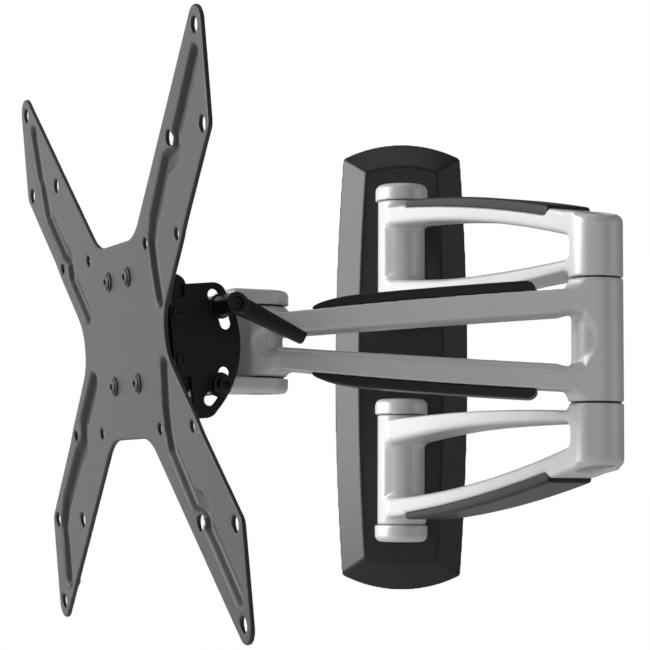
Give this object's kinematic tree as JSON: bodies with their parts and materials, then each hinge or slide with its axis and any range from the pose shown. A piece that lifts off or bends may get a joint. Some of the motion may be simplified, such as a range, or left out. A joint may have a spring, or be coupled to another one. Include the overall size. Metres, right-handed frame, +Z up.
{
  "type": "full motion screen wall mount",
  "caption": "Screen wall mount with a covered wall base, paired curved rear arms, a single front arm, and a swivel and tilt head carrying an X-shaped plate.",
  "frame": {"origin": "centre of the four wall holes, on the back face of the wall plate, at the wall's surface", "axes": "+X along the wall to the right as seen from the room, +Y into the wall, +Z up"},
  "size_m": [0.361, 0.4041, 0.3188],
  "materials": {
    "silver_casting": "satin silver coating over a smooth casting",
    "black_sheet": "fine black powder coat",
    "black_plastic": "satin moulded plastic",
    "hinge_plastic": "smooth",
    "plain_steel": "zinc plated",
    "black_steel": "black oxide"
  },
  "bodies": {
    "wall_base": {"wall_plate": "plain_steel", "wall_cover": "black_plastic", "upper_wall_bracket": "silver_casting", "lower_wall_bracket": "silver_casting", "bracket_screws": "plain_steel", "upper_wall_pin": "plain_steel", "lower_wall_pin": "plain_steel", "wall_washers": "hinge_plastic"},
    "rear_arms": {"upper_rear_arm": "silver_casting", "lower_rear_arm": "silver_casting", "upper_rear_cover": "black_plastic", "lower_rear_cover": "black_plastic", "wall_bushes": "hinge_plastic", "elbow_pin": "plain_steel", "elbow_nut": "plain_steel", "elbow_washers": "hinge_plastic"},
    "front_arm": {"front_arm": "silver_casting", "upper_front_cover": "black_plastic", "lower_front_cover": "black_plastic", "elbow_bushes": "hinge_plastic", "head_bushes": "hinge_plastic"},
    "swivel_head": {"swivel_bracket": "silver_casting", "head_pin": "plain_steel", "head_washers": "hinge_plastic", "lower_tilt_bolt": "black_steel", "clamp_bolt": "black_steel", "tilt_washers": "black_steel", "tilt_nuts": "black_steel"},
    "tilt_head": {"screen_channel": "black_sheet", "near_slot_plate": "black_sheet", "far_slot_plate": "black_sheet", "channel_screws": "black_steel", "screen_plate": "black_sheet", "plate_screws": "black_steel"},
    "clamp_lever": {"clamp_lever": "black_plastic", "lever_screw": "black_steel"}
  },
  "joints": [
    {"name": "wall_swing", "type": "hinge", "parent": "wall_base", "child": "rear_arms", "pos_m": [0, -0.034, 0], "axis": [0, 0, 1], "range_deg": [-118, 62]},
    {"name": "elbow_swing", "type": "hinge", "parent": "rear_arms", "child": "front_arm", "pos_m": [0.10868, -0.2384, 0], "axis": [0, 0, -1], "range_deg": [-124, 48]},
    {"name": "head_swivel", "type": "hinge", "parent": "front_arm", "child": "swivel_head", "pos_m": [-0.08177, -0.21838, 0], "axis": [0, 0, 1], "range_deg": [-75, 30]},
    {"name": "tilt", "type": "hinge", "parent": "swivel_head", "child": "tilt_head", "pos_m": [-0.15138, -0.25129, -0.0045], "axis": [0.4274, -0.9041, 0], "range_deg": [-8.5, 11.5]},
    {"name": "lever_turn", "type": "hinge", "parent": "swivel_head", "child": "clamp_lever", "pos_m": [-0.09733, -0.26556, 0.01729], "axis": [0.4274, -0.9041, 0], "range_deg": [0, 110]}
  ]
}
